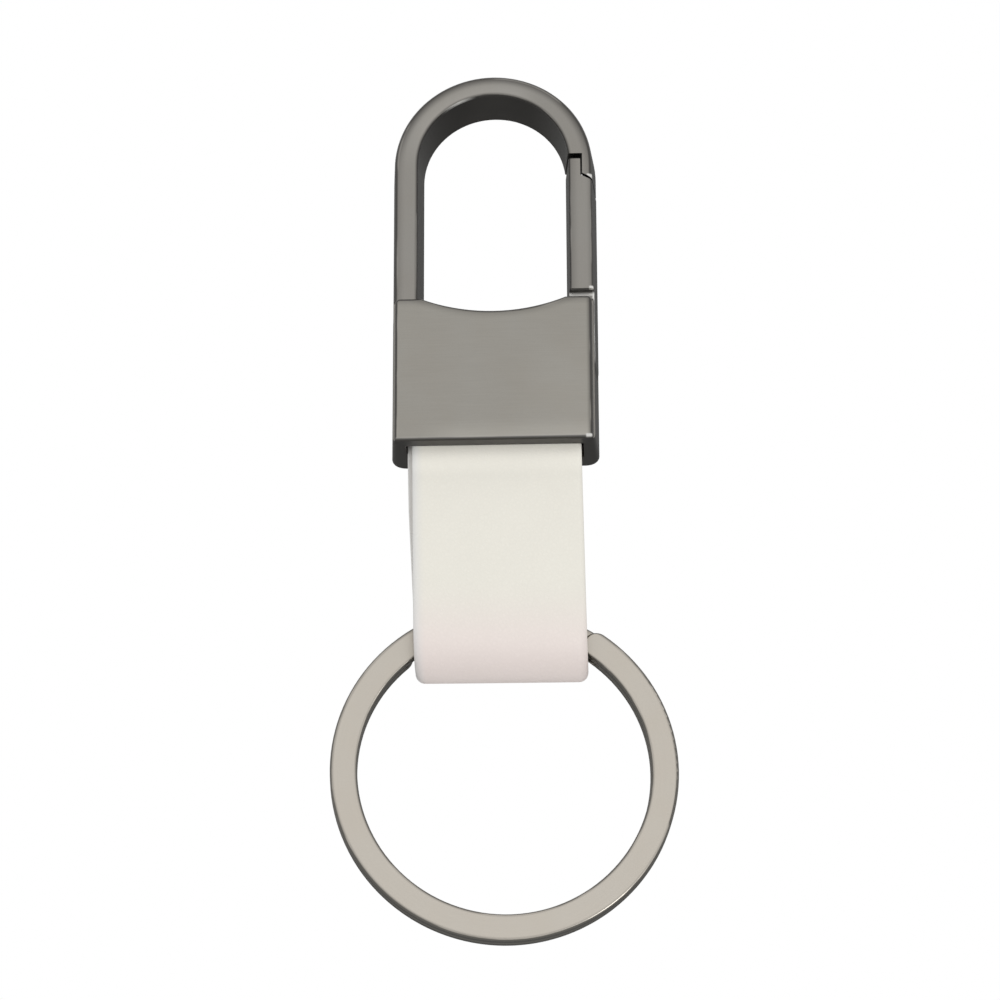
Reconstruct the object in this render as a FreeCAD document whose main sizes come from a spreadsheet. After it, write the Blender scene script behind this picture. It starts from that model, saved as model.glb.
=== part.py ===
import FreeCAD, Part
import math
import os
import Sketcher

# Belt key clip: a cast bail with a sprung gate, a leather strap and a flat split key ring.
# It hangs with the bail up. X runs to the gate's side, Y to the back, Z up.
# The origin is on the inside of the bail's crown, where a belt loop carries it,
# in the mid-plane of the strap.

SIZES = {
    # Bail: the arch and its legs, drafted so that the front face is the narrower one
    "bail_band": 3.28,
    "bail_thickness": 5.4,
    "bail_edge_radius": 0.55,
    "bail_inner_edge_radius": 0.25,
    "draft_share": 0.078,
    "opening_height": 23.37,
    "crown_drop": 0.2,
    # Block: the body below the bail
    "front_wall": 0.8,
    "side_wall": 1.64,
    "slot_wall": 2.42,
    "web": 1.05,
    "back_edge_radius": 1.5,
    "block_edge_radius": 0.7,
    "gate_side_inset": 0.15,
    "scoop_ledge": 0.05,
    "scoop_depth": 1.47,
    "leg_root": 3.0,
    "socket_depth": 6.5,
    "socket_clearance": 0.2,
    "strap_side_clearance": 0.45,
    # Face plate and its pegs
    "plate_thickness": 1.0,
    "plate_inset": 0.18,
    "plate_edge_radius": 0.4,
    "plate_corner_radius": 0.45,
    "peg_radius": 0.8,
    "peg_length": 1.5,
    "peg_wall": 0.5,
    # Gate: tongue, shoulder, step and tail
    "tongue_rise": 0.56,
    "tongue_gap": 0.4,
    "tongue_width": 1.65,
    "tongue_corner_radius": 0.35,
    "lip_length": 2.3,
    "lip_slant": 0.75,
    "joint_gap": 0.2,
    "step_rise": 1.22,
    "tail_recess": 0.9,
    "tail_clearance": 0.13,
    "tail_radius": 1.75,
    "gate_edge_radius": 0.3,
    "pivot_drop": 6.4,
    "swing_clearance": 0.4,
    # Cross pins
    "pin_radius": 0.8,
    "pin_inset": 0.1,
    "running_clearance": 0.05,
    "seat_clearance": 0.01,
    "strap_pin_edge": 3.7,
    "strap_pin_rise": 3.9,
    # Gate spring
    "spring_radius": 1.0,
    "wire_diameter": 0.35,
    "spring_lever": 3.0,
    "spring_hole_depth": 2.8,
    "spring_pocket_depth": 0.8,
    "spring_clearance": 0.15,
    # Strap: two leaves, each of a face ply and a lining ply
    "strap_width": 17.5,
    "strap_shift": 0.22,
    "face_ply": 1.1,
    "lining_ply": 0.7,
    "glue_line": 0.02,
    "leaf_gap": 0.1,
    "mouth_drop": 0.8,
    "tab_clearance": 0.15,
    "strap_reach": 20.25,
    "fold_room": 0.9,
    # Split ring
    "ring_outer_radius": 17.5,
    "ring_band": 2.75,
    "coil_thickness": 1.1,
    "coil_gap": 0.06,
    "ring_edge_radius": 0.28,
    "ring_clearance": 0.1,
    # One overrun serves all cuts
    "overrun": 1.0,
}

# Angles in degrees, counts and shares
GATE_OPENING = 20.0
STRAP_LEAN = -1.0
RING_TURN = 4.0
SPRING_TURNS = 6
QUARTERS = 4
FRONT_COIL_START = -53.5
FRONT_COIL_SWEEP = 289.5
JOG_SWEEP = 44.0
JOG_SECTIONS = 9
BACK_COIL_SWEEP = 310.0
FULL_TURN = 360.0
QUARTER_TURN = 90.0

# Two lengths this close are the same
TOLERANCE = 1e-6

UP = FreeCAD.Vector(0, 0, 1)
RIGHT = FreeCAD.Vector(1, 0, 0)
BACK = FreeCAD.Vector(0, 1, 0)
CENTRE = FreeCAD.Vector(0, 0, 0)


class Size:
    """A number with the sheet formula that gives it."""

    def __init__(self, value, formula):
        self.value = value
        self.formula = formula

    def join(self, other, sign, value):
        other = as_size(other)
        return Size(value(self.value, other.value), "(%s %s %s)" % (self.formula, sign, other.formula))

    def __add__(self, other):
        return self.join(other, "+", lambda a, b: a + b)

    def __sub__(self, other):
        return self.join(other, "-", lambda a, b: a - b)

    def __mul__(self, other):
        return self.join(other, "*", lambda a, b: a * b)

    def __truediv__(self, other):
        return self.join(other, "/", lambda a, b: a / b)

    def __rsub__(self, other):
        return as_size(other) - self

    def __neg__(self):
        return Size(-self.value, "(-%s)" % self.formula)


def as_size(number):
    """A plain number as a size."""
    if isinstance(number, Size):
        return number
    return Size(float(number), repr(float(number)))


def root(size):
    """The square root of a size."""
    return Size(math.sqrt(size.value), "sqrt(%s)" % size.formula)


def third_side(long_side, short_side):
    """The other short side of a right triangle."""
    return root(long_side * long_side - short_side * short_side)


def make_sheet(doc):
    """Write the driving sizes to the sheet and return them by name."""
    sheet = doc.addObject("Spreadsheet::Sheet", "Sizes")
    for row, (name, value) in enumerate(SIZES.items(), start=1):
        sheet.set("A%d" % row, name)
        sheet.set("B%d" % row, str(value))
        sheet.setAlias("B%d" % row, name)
    doc.recompute()
    return {name: Size(float(sheet.get(name)), "Sizes." + name) for name in SIZES}


doc = FreeCAD.newDocument("belt_key_clip")
size = make_sheet(doc)
overrun = size["overrun"]

# Strap and socket, which set the width and depth of the casting
leaf = size["face_ply"] + size["lining_ply"]
stack_radius = leaf + size["leaf_gap"] / 2
strap_half = size["strap_width"] / 2
socket_half = stack_radius + size["socket_clearance"]
block_half = strap_half + size["strap_side_clearance"] + size["side_wall"]

# Bail
bail_outer_radius = block_half
bail_inner_radius = bail_outer_radius - size["bail_band"]
bail_axis_z = -bail_inner_radius
frame_front = socket_half + size["front_wall"]
bail_back = size["bail_thickness"] - frame_front

# Gate's tail and the slot that it swings in
block_top = -size["opening_height"]
pivot_x = bail_outer_radius - size["tail_radius"]
pivot_z = block_top - size["pivot_drop"]
tail_front = frame_front - size["tail_recess"]
tail_middle = (bail_back - tail_front) / 2
tail_inset = pivot_x - bail_inner_radius
slot_radius = size["tail_radius"] + size["tail_clearance"]
slot_front = tail_front + size["tail_clearance"]
slot_back = bail_back + size["tail_clearance"]
opening_sine_share = math.sin(math.radians(GATE_OPENING))
opening_cosine_share = math.cos(math.radians(GATE_OPENING))
tail_swing = tail_inset * opening_cosine_share + size["pivot_drop"] * opening_sine_share
slot_inner = pivot_x - tail_swing - size["swing_clearance"]

# Block
frame_back = slot_back + size["slot_wall"]
block_bottom = pivot_z - slot_radius - size["web"] - size["socket_depth"]
block_side_back = frame_back - size["back_edge_radius"]
block_half_front = block_half - size["draft_share"] * size["bail_thickness"]
block_half_back = block_half + size["draft_share"] * (block_side_back - bail_back)
gate_side_back = block_half_back - size["gate_side_inset"]
plate_half = block_half_front - size["plate_inset"]
scoop_half = bail_inner_radius - size["scoop_ledge"]
socket_top = block_bottom + size["socket_depth"]
seat_radius = size["pin_radius"] + size["seat_clearance"]

# Gate's joint with the lip
tongue_side = bail_inner_radius + size["tongue_width"]
tongue_top = bail_axis_z + size["tongue_rise"]
arch_end = tongue_top + size["tongue_gap"]
lip_side = tongue_side + size["joint_gap"]
lip_end = arch_end - size["lip_length"]
lip_slope = size["lip_slant"] / (bail_outer_radius - lip_side)
outside = bail_outer_radius + overrun

# Gate spring
spring_z = pivot_z + size["spring_lever"]
spring_start = slot_inner - size["spring_hole_depth"]
spring_end = bail_inner_radius + size["spring_pocket_depth"]
spring_hole_radius = size["spring_radius"] + size["wire_diameter"] / 2 + size["spring_clearance"]

# Strap's bend and fold, and the ring in the fold
strap_axis_z = block_bottom - size["mouth_drop"]
lean_sine_share = abs(math.sin(math.radians(STRAP_LEAN)))
ring_half = size["coil_thickness"] + size["coil_gap"] / 2
ring_inner_radius = size["ring_outer_radius"] - size["ring_band"]
fold_radius = leaf + ring_half + size["fold_room"]
turn_tangent_share = math.tan(math.radians(RING_TURN))
turn_cosine_share = math.cos(math.radians(RING_TURN))
twist_sine = strap_half * turn_tangent_share / size["strap_reach"]


def bind(thing, name, length):
    """Tie a property to the sheet."""
    thing.setExpression(name, length.formula)


def new_body(name):
    """A body for one piece."""
    body = doc.addObject("PartDesign::Body", name)
    body.Label = name
    return body


def new_sketch(body, name, plane, level):
    """A sketch on one of the body's origin planes, raised by level along the plane's normal."""
    sketch = body.newObject("Sketcher::SketchObject", name)
    support = [feature for feature in body.Origin.OriginFeatures if feature.Role == plane][0]
    sketch.AttachmentSupport = (support, [""])
    sketch.MapMode = "FlatFace"
    bind(sketch, "AttachmentOffset.Base.z", as_size(level))
    return sketch


def pin_point(sketch, curve, place, point):
    """Tie a point of a curve to its two coordinates."""
    for kind, length in zip(("DistanceX", "DistanceY"), point):
        length = as_size(length)
        index = sketch.addConstraint(Sketcher.Constraint(kind, curve, place, length.value))
        sketch.setExpression("Constraints[%d]" % index, length.formula)


def pin_radius(sketch, curve, radius):
    """Tie the radius of a round curve."""
    index = sketch.addConstraint(Sketcher.Constraint("Radius", curve, radius.value))
    sketch.setExpression("Constraints[%d]" % index, radius.formula)


def flat(point):
    """A sketch point as a vector."""
    return FreeCAD.Vector(as_size(point[0]).value, as_size(point[1]).value, 0)


def arc_between(start, end, radius, side):
    """An arc of less than a half circle. Side 1 turns left on the way, and -1 right."""
    chord = end - start
    middle = (start + end) / 2
    reach = math.sqrt(max(radius * radius - chord.Length * chord.Length / 4, 0))
    across = FreeCAD.Vector(-chord.y, chord.x, 0).normalize()
    centre = middle + across * reach * side
    first, last = (start, end) if side > 0 else (end, start)
    angles = [math.atan2(p.y - centre.y, p.x - centre.x) for p in (first, last)]
    return Part.ArcOfCircle(Part.Circle(centre, UP, radius), angles[0], angles[1])


def draw(sketch, corners, arcs=None):
    """Draw a closed outline. Arcs gives, by the corner it starts from, an arc's radius and side."""
    arcs = arcs or {}
    ends = []
    for index, corner in enumerate(corners):
        start = flat(corner)
        end = flat(corners[(index + 1) % len(corners)])
        if index not in arcs:
            curve = sketch.addGeometry(Part.LineSegment(start, end))
            ends.append((curve, 1, 2))
            continue
        radius, side = arcs[index]
        curve = sketch.addGeometry(arc_between(start, end, radius.value, side))
        ends.append((curve, 1, 2) if side > 0 else (curve, 2, 1))
    for index, (curve, first, last) in enumerate(ends):
        following, next_first, next_last = ends[(index + 1) % len(ends)]
        sketch.addConstraint(Sketcher.Constraint("Coincident", curve, last, following, next_first))
    for corner, (curve, first, last) in zip(corners, ends):
        pin_point(sketch, curve, first, corner)
    for index, (radius, side) in arcs.items():
        pin_radius(sketch, ends[index][0], radius)


def draw_circle(sketch, centre, radius):
    """Draw a circle."""
    curve = sketch.addGeometry(Part.Circle(flat(centre), UP, radius.value))
    pin_point(sketch, curve, 3, centre)
    pin_radius(sketch, curve, radius)


def pad(body, sketch, length):
    """Pad a sketch along its normal."""
    feature = body.newObject("PartDesign::Pad", sketch.Name + "_pad")
    feature.Profile = sketch
    bind(feature, "Length", length)
    return feature


def drafted_pad(body, sketch, length):
    """Pad a sketch with sides that draw in."""
    feature = pad(body, sketch, length)
    feature.setExpression("TaperAngle", "-atan(%s)" % size["draft_share"].formula)
    return feature


def pocket(body, sketch, length, forward=False):
    """Cut a sketch against its normal, or along it."""
    doc.recompute()
    before = body.Tip.Shape.Volume
    feature = body.newObject("PartDesign::Pocket", sketch.Name + "_pocket")
    feature.Profile = sketch
    feature.Reversed = forward
    bind(feature, "Length", length)
    doc.recompute()
    if feature.Shape.Volume >= before:
        raise RuntimeError(sketch.Name + " cuts nothing")
    return feature


def round_edges(body, name, chosen, radius):
    """Round the edges of the body's last feature that chosen picks."""
    doc.recompute()
    base = body.Tip
    names = ["Edge%d" % number for number, edge in enumerate(base.Shape.Edges, start=1) if chosen(edge)]
    feature = body.newObject("PartDesign::Fillet", name)
    feature.Base = (base, names)
    bind(feature, "Radius", radius)
    return feature


def near(value, target):
    """Whether two lengths agree."""
    return math.isclose(value, target, abs_tol=TOLERANCE)


def lies_at_y(edge, level):
    """Whether an edge lies in the plane at that Y."""
    box = edge.BoundBox
    return near(box.YMin, level) and near(box.YMax, level)


def box_corners(half, low, high):
    """A box that reaches as far to each side of the middle."""
    return [(-half, low), (half, low), (half, high), (-half, high)]


def bail_corners(inner, outer, foot):
    """The arch and its legs as one outline, with its arcs. The outer arch is thinner at its crown."""
    shoulder = bail_axis_z - size["crown_drop"]
    corners = [
        (-outer, foot),
        (-outer, shoulder),
        (0, shoulder + outer),
        (outer, shoulder),
        (outer, foot),
        (inner, foot),
        (inner, bail_axis_z),
        (0, bail_axis_z + inner),
        (-inner, bail_axis_z),
        (-inner, foot),
    ]
    arcs = {1: (outer, -1), 2: (outer, -1), 6: (inner, 1), 7: (inner, 1)}
    return corners, arcs


def block_corners():
    """The block seen from above, with its rounded back edges."""
    radius = size["back_edge_radius"]
    corners = [
        (-block_half_front, -frame_front),
        (block_half_front, -frame_front),
        (gate_side_back, block_side_back),
        (gate_side_back - radius, frame_back),
        (radius - block_half_back, frame_back),
        (-block_half_back, block_side_back),
    ]
    return corners, {2: (radius, 1), 4: (radius, 1)}


def scoop_radius():
    """The radius of the hollow in the block's upper edge."""
    depth = size["scoop_depth"]
    return (scoop_half * scoop_half + depth * depth) / (depth * 2)


def slot_corners():
    """The slot that the gate's tail swings in."""
    corners = [
        (slot_inner, block_top + overrun),
        (slot_inner, pivot_z),
        (pivot_x - slot_radius, pivot_z),
        (pivot_x, pivot_z - slot_radius),
        (pivot_x + slot_radius, pivot_z),
        (outside, pivot_z),
        (outside, block_top + overrun),
    ]
    return corners, {2: (slot_radius, 1), 3: (slot_radius, 1)}


def gate_gap_corners():
    """What is cut from the right leg to make room for the gate, with the lip left standing."""
    inside = bail_inner_radius - overrun
    return [
        (inside, arch_end),
        (lip_side, arch_end),
        (lip_side, lip_end),
        (outside, lip_end - lip_slope * (outside - lip_side)),
        (outside, block_top),
        (inside, block_top),
    ]


def pin_places():
    """Where the cross pins go through the block."""
    reach = strap_half - size["strap_pin_edge"]
    level = block_bottom + size["strap_pin_rise"]
    return [(pivot_x, pivot_z), (-reach, level), (reach, level)]


def peg_places():
    """Where the plate's pegs enter the block."""
    reach = slot_inner - size["peg_radius"] - size["peg_wall"]
    return [(-reach, pivot_z), (reach, pivot_z)]


def make_clip_frame():
    """The casting: arch, left leg, lip and block."""
    body = new_body("clip_frame")
    sketch = new_sketch(body, "bail_outline", "XZ_Plane", -bail_back)
    foot = block_top - size["leg_root"]
    draw(sketch, *bail_corners(bail_inner_radius, bail_outer_radius, foot))
    drafted_pad(body, sketch, size["bail_thickness"])
    round_edges(body, "bail_outer_edges", is_outer_bail_edge, size["bail_edge_radius"])
    round_edges(body, "bail_inner_edges", is_inner_bail_edge, size["bail_inner_edge_radius"])
    sketch = new_sketch(body, "gate_gap", "XZ_Plane", frame_front + overrun)
    draw(sketch, gate_gap_corners())
    pocket(body, sketch, size["bail_thickness"] + overrun * 2)
    sketch = new_sketch(body, "block_plan", "XY_Plane", block_bottom)
    draw(sketch, *block_corners())
    pad(body, sketch, block_top - block_bottom)
    round_edges(body, "block_edges", is_lower_block_edge, size["block_edge_radius"])
    add_block_cuts(body)
    return body


def is_bail_face_edge(edge):
    """Whether an edge goes round the front or the back face of the bail."""
    return lies_at_y(edge, -frame_front.value) or lies_at_y(edge, bail_back.value)


def bail_edge_reach(edge):
    """How far the middle of an edge lies from the line that the bail goes round."""
    middle = edge.valueAt((edge.FirstParameter + edge.LastParameter) / 2)
    return math.hypot(middle.x, max(middle.z - bail_axis_z.value, 0))


def is_outer_bail_edge(edge):
    """Whether an edge goes round the outside of the bail."""
    limit = bail_outer_radius - size["bail_band"] / QUARTERS
    return is_bail_face_edge(edge) and bail_edge_reach(edge) > limit.value


def is_inner_bail_edge(edge):
    """Whether an edge goes round the inside of the bail."""
    limit = bail_inner_radius + size["bail_band"] / QUARTERS
    return is_bail_face_edge(edge) and bail_edge_reach(edge) < limit.value


def is_lower_block_edge(edge):
    """Whether an edge goes round the foot of the block, apart from its front."""
    box = edge.BoundBox
    low = near(box.ZMin, block_bottom.value) and near(box.ZMax, block_bottom.value)
    return low and not lies_at_y(edge, -frame_front.value)


def add_block_cuts(body):
    """The scoop, slot, socket and holes of the block."""
    through = frame_front + frame_back + overrun * 2
    sketch = new_sketch(body, "scoop", "XZ_Plane", frame_front + overrun)
    corners = box_corners(scoop_half, block_top, block_top + overrun)
    draw(sketch, corners, {0: (scoop_radius(), 1)})
    pocket(body, sketch, through)
    sketch = new_sketch(body, "gate_slot", "XZ_Plane", slot_front)
    draw(sketch, *slot_corners())
    pocket(body, sketch, slot_front + slot_back)
    sketch = new_sketch(body, "strap_socket", "XY_Plane", block_bottom - overrun)
    draw(sketch, box_corners(strap_half + size["strap_side_clearance"], -socket_half, socket_half))
    pocket(body, sketch, size["socket_depth"] + overrun, forward=True)
    sketch = new_sketch(body, "pin_holes", "XZ_Plane", frame_front + overrun)
    for place in pin_places():
        draw_circle(sketch, place, seat_radius)
    pocket(body, sketch, through)
    sketch = new_sketch(body, "peg_holes", "XZ_Plane", frame_front + overrun)
    for place in peg_places():
        draw_circle(sketch, place, size["peg_radius"] + size["seat_clearance"])
    pocket(body, sketch, size["peg_length"] + size["seat_clearance"] + overrun)
    sketch = new_sketch(body, "spring_hole", "YZ_Plane", slot_inner + overrun)
    draw_circle(sketch, (tail_middle, spring_z), spring_hole_radius)
    pocket(body, sketch, size["spring_hole_depth"] + overrun)


def make_face_plate():
    """The proud front plate, with two pegs behind."""
    body = new_body("face_plate")
    sketch = new_sketch(body, "plate_outline", "XZ_Plane", frame_front)
    corners = [
        (-plate_half, block_top),
        (-scoop_half, block_top),
        (scoop_half, block_top),
        (plate_half, block_top),
        (plate_half, block_bottom),
        (-plate_half, block_bottom),
    ]
    draw(sketch, corners, {1: (scoop_radius(), 1)})
    pad(body, sketch, size["plate_thickness"])
    round_edges(body, "plate_corners", is_upper_plate_corner, size["plate_corner_radius"])
    face = -(frame_front + size["plate_thickness"]).value
    round_edges(body, "plate_edges", lambda edge: lies_at_y(edge, face), size["plate_edge_radius"])
    sketch = new_sketch(body, "plate_pegs", "XZ_Plane", frame_front - size["peg_length"])
    for place in peg_places():
        draw_circle(sketch, place, size["peg_radius"])
    pad(body, sketch, size["peg_length"])
    return body


def is_upper_plate_corner(edge):
    """Whether an edge is one of the plate's two upper corners, which run front to back."""
    box = edge.BoundBox
    lengthwise = near(box.XLength, 0) and near(box.ZLength, 0)
    at_side = near(abs(box.XMin), plate_half.value)
    return lengthwise and at_side and near(box.ZMin, block_top.value)


def gate_blank_corners():
    """The gate's leg and the round end of its tail."""
    radius = size["tail_radius"]
    top = tongue_top + overrun
    corners = [
        (bail_inner_radius, top),
        (bail_inner_radius, block_top),
        (pivot_x - radius, pivot_z),
        (pivot_x, pivot_z - radius),
        (pivot_x + radius, pivot_z),
        (bail_outer_radius, top),
    ]
    return corners, {2: (radius, 1), 3: (radius, 1)}


def gate_trim_corners():
    """What is cut above the tongue and outside it, down to the shoulder under the lip."""
    inside = bail_inner_radius - overrun
    shoulder = lip_end - size["joint_gap"]
    top = tongue_top + overrun * 2
    return [
        (inside, tongue_top),
        (tongue_side, tongue_top),
        (tongue_side, shoulder),
        (outside, shoulder - lip_slope * (outside - tongue_side)),
        (outside, top),
        (inside, top),
    ]


def is_tongue_edge(edge):
    """Whether an edge is one of the long ones at the tongue's top."""
    box = edge.BoundBox
    level = near(box.ZMin, tongue_top.value) and near(box.ZMax, tongue_top.value)
    return level and box.YLength > box.XLength


def make_gate():
    """The lever on the right: tongue, shoulder, leg, step and tail."""
    body = new_body("gate")
    sketch = new_sketch(body, "gate_blank", "XZ_Plane", -bail_back)
    draw(sketch, *gate_blank_corners())
    drafted_pad(body, sketch, size["bail_thickness"])
    round_edges(body, "gate_edges", is_bail_face_edge, size["gate_edge_radius"])
    through = size["bail_thickness"] + overrun * 2
    sketch = new_sketch(body, "gate_trim", "XZ_Plane", frame_front + overrun)
    draw(sketch, gate_trim_corners())
    pocket(body, sketch, through)
    round_edges(body, "tongue_corners", is_tongue_edge, size["tongue_corner_radius"])
    sketch = new_sketch(body, "gate_step", "XZ_Plane", frame_front + overrun)
    step = block_top + size["step_rise"]
    low = pivot_z - size["tail_radius"] - overrun
    inside = pivot_x - size["tail_radius"] - overrun
    draw(sketch, [(inside, step), (outside, step), (outside, low), (inside, low)])
    pocket(body, sketch, size["tail_recess"] + overrun)
    sketch = new_sketch(body, "gate_bore", "XZ_Plane", frame_front + overrun)
    draw_circle(sketch, (pivot_x, pivot_z), size["pin_radius"] + size["running_clearance"])
    pocket(body, sketch, through)
    sketch = new_sketch(body, "spring_pocket", "YZ_Plane", slot_inner)
    draw_circle(sketch, (tail_middle, spring_z), spring_hole_radius)
    pocket(body, sketch, spring_end - slot_inner, forward=True)
    return body


def make_pin(name, place):
    """A cross pin, put in from the back and ending under the plate."""
    pin = doc.addObject("Part::Cylinder", name)
    pin.Placement = FreeCAD.Placement(CENTRE, FreeCAD.Rotation(RIGHT, -QUARTER_TURN))
    bind(pin, "Radius", size["pin_radius"])
    bind(pin, "Height", frame_front + frame_back - size["pin_inset"])
    bind(pin, "Placement.Base.x", place[0])
    bind(pin, "Placement.Base.y", size["pin_inset"] - frame_front)
    bind(pin, "Placement.Base.z", place[1])
    pin.Label = name
    return pin


def make_strap_pins():
    """The two pins through the strap's ends."""
    names = ("strap_pin_left", "strap_pin_right")
    group = doc.addObject("Part::Compound", "strap_pins")
    group.Links = [make_pin(name, place) for name, place in zip(names, pin_places()[1:])]
    group.Label = "strap_pins"
    return group


def make_strap_tab(name, level):
    """One strap end in the socket, pinned through."""
    body = new_body(name)
    sketch = new_sketch(body, name + "_outline", "XZ_Plane", level)
    low = strap_axis_z + stack_radius + strap_half * lean_sine_share + size["tab_clearance"]
    high = socket_top - size["tab_clearance"]
    draw(sketch, [(x + size["strap_shift"], z) for x, z in box_corners(strap_half, low, high)])
    for place in pin_places()[1:]:
        draw_circle(sketch, place, seat_radius)
    pad(body, sketch, leaf)
    return body


def loop_corners(inset, swing):
    """The strap's loop seen from its side, inset from its outside and swung about the bend at the mouth."""
    sine = (fold_radius - stack_radius) / size["strap_reach"]
    cosine = root(1 - sine * sine)
    near_end = stack_radius - inset
    far_end = fold_radius - inset
    fold = -size["strap_reach"]
    corners = [
        (-near_end * cosine, near_end * sine),
        (-far_end * cosine, fold + far_end * sine),
        (0, fold - far_end),
        (far_end * cosine, fold + far_end * sine),
        (near_end * cosine, near_end * sine),
        (0, near_end),
    ]
    level = root(1 - swing * swing)
    swung = [(level * y - swing * z, swing * y + level * z) for y, z in corners]
    return swung, {1: (far_end, 1), 2: (far_end, 1), 4: (near_end, 1), 5: (near_end, 1)}


def loop_loft(body, name, kind, inset, half):
    """Carry the strap's loop across its width, swung back on the right and forward on the left."""
    sections = []
    for side, way in (("left", -1), ("right", 1)):
        sketch = new_sketch(body, name + "_" + side, "YZ_Plane", half * way)
        draw(sketch, *loop_corners(inset, twist_sine * half / strap_half * way))
        sections.append(sketch)
    loft = body.newObject(kind, name + "_loft")
    loft.Profile = sections[0]
    loft.Sections = sections[1:]
    loft.Ruled = True


def make_strap_ply(name, outside_inset, inside_inset):
    """One ply of the strap, folded round the ring, twisted and leaning as it hangs."""
    body = new_body(name)
    loop_loft(body, name + "_outside", "PartDesign::AdditiveLoft", outside_inset, strap_half)
    loop_loft(body, name + "_inside", "PartDesign::SubtractiveLoft", inside_inset, strap_half + overrun)
    body.Placement = FreeCAD.Placement(CENTRE, FreeCAD.Rotation(BACK, STRAP_LEAN))
    bind(body, "Placement.Base.x", size["strap_shift"])
    bind(body, "Placement.Base.z", strap_axis_z)
    return body


def rounded_section(low_x, high_x, low_y, high_y, radius):
    """A face in the XY plane with rounded corners on its outer and inner sides."""
    slope = radius * (1 - math.sqrt(0.5))
    corners = [
        (low_x, low_y, 1, 1),
        (high_x, low_y, -1, 1),
        (high_x, high_y, -1, -1),
        (low_x, high_y, 1, -1),
    ]
    arcs = []
    for number, (x, y, right, up) in enumerate(corners):
        along = FreeCAD.Vector(x + right * radius, y, 0)
        middle = FreeCAD.Vector(x + right * slope, y + up * slope, 0)
        aside = FreeCAD.Vector(x, y + up * radius, 0)
        arcs.append((aside, middle, along) if number % 2 == 0 else (along, middle, aside))
    wire = []
    for number, (start, middle, end) in enumerate(arcs):
        wire.append(Part.Arc(start, middle, end).toShape())
        wire.append(Part.LineSegment(end, arcs[(number + 1) % len(arcs)][0]).toShape())
    return Part.Face(Part.Wire(wire))


def half_section(low_x, high_x, low_y, high_y, radius):
    """The outer half of a coil's section, from its middle out."""
    slope = radius * (1 - math.sqrt(0.5))
    points = [
        FreeCAD.Vector(low_x, low_y, 0),
        FreeCAD.Vector(high_x - radius, low_y, 0),
        FreeCAD.Vector(high_x - slope, low_y + slope, 0),
        FreeCAD.Vector(high_x, low_y + radius, 0),
        FreeCAD.Vector(high_x, high_y - radius, 0),
        FreeCAD.Vector(high_x - slope, high_y - slope, 0),
        FreeCAD.Vector(high_x - radius, high_y, 0),
        FreeCAD.Vector(low_x, high_y, 0),
    ]
    edges = [
        Part.LineSegment(points[0], points[1]),
        Part.Arc(points[1], points[2], points[3]),
        Part.LineSegment(points[3], points[4]),
        Part.Arc(points[4], points[5], points[6]),
        Part.LineSegment(points[6], points[7]),
        Part.LineSegment(points[7], points[0]),
    ]
    return Part.Face(Part.Wire([edge.toShape() for edge in edges]))


def coil_section(turn, height):
    """A coil's section at an angle round the ring, clockwise from the right as seen from the front."""
    half = size["coil_thickness"].value / 2
    edge = size["ring_edge_radius"].value
    outer = size["ring_outer_radius"].value
    section = rounded_section(ring_inner_radius.value, outer, height - half, height + half, edge)
    section.rotate(CENTRE, BACK, turn)
    return section


def coil_end(turn, height):
    """The rounded end of a coil."""
    half = size["coil_thickness"].value / 2
    edge = size["ring_edge_radius"].value
    outer = size["ring_outer_radius"].value
    middle = (outer + ring_inner_radius.value) / 2
    section = half_section(middle, outer, height - half, height + half, edge)
    end = section.revolve(FreeCAD.Vector(middle, 0, 0), BACK, FULL_TURN)
    end.rotate(CENTRE, BACK, turn)
    return end


def ease(share):
    """A smooth climb from 0 to 1."""
    return share * share * (3 - 2 * share)


def make_split_ring():
    """One flat wire wound twice: the front coil, the jog behind the strap and the back coil."""
    climb = (size["coil_thickness"] + size["coil_gap"]).value
    front = -climb / 2
    jog_start = FRONT_COIL_START + FRONT_COIL_SWEEP
    jog_end = jog_start + JOG_SWEEP
    sections = []
    for number in range(JOG_SECTIONS):
        share = number / (JOG_SECTIONS - 1)
        section = coil_section(jog_start + share * JOG_SWEEP, front + climb * ease(share))
        sections.append(section.OuterWire)
    pieces = [
        coil_section(FRONT_COIL_START, front).revolve(CENTRE, BACK, FRONT_COIL_SWEEP),
        Part.makeLoft(sections, True),
        coil_section(jog_end, -front).revolve(CENTRE, BACK, BACK_COIL_SWEEP),
        coil_end(FRONT_COIL_START, front),
        coil_end(jog_end + BACK_COIL_SWEEP, -front),
    ]
    ring = doc.addObject("Part::Feature", "split_ring")
    ring.Shape = pieces[0].multiFuse(pieces[1:]).removeSplitter()
    fold_seat = third_side(fold_radius - leaf, ring_half + size["ring_clearance"])
    ring_grip = strap_half / turn_cosine_share + ring_half * turn_tangent_share
    hang = size["strap_reach"] + fold_seat + third_side(ring_inner_radius, ring_grip)
    lean = FreeCAD.Rotation(BACK, STRAP_LEAN)
    turn = lean.multiply(FreeCAD.Rotation(UP, RING_TURN))
    mouth = RIGHT * size["strap_shift"].value + UP * strap_axis_z.value
    ring.Placement = FreeCAD.Placement(mouth - lean.multVec(UP) * hang.value, turn)
    ring.Label = "split_ring"
    return ring


def helix_point(share, start, end):
    """A point on the spring's wire and the way it runs there."""
    radius = size["spring_radius"].value
    angle = share * SPRING_TURNS * 2 * math.pi
    climb = end - start
    place = FreeCAD.Vector(start + share * climb, radius * math.cos(angle), radius * math.sin(angle))
    turn_rate = SPRING_TURNS * 2 * math.pi * radius
    way = FreeCAD.Vector(climb, -turn_rate * math.sin(angle), turn_rate * math.cos(angle))
    return place, way.normalize()


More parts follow.
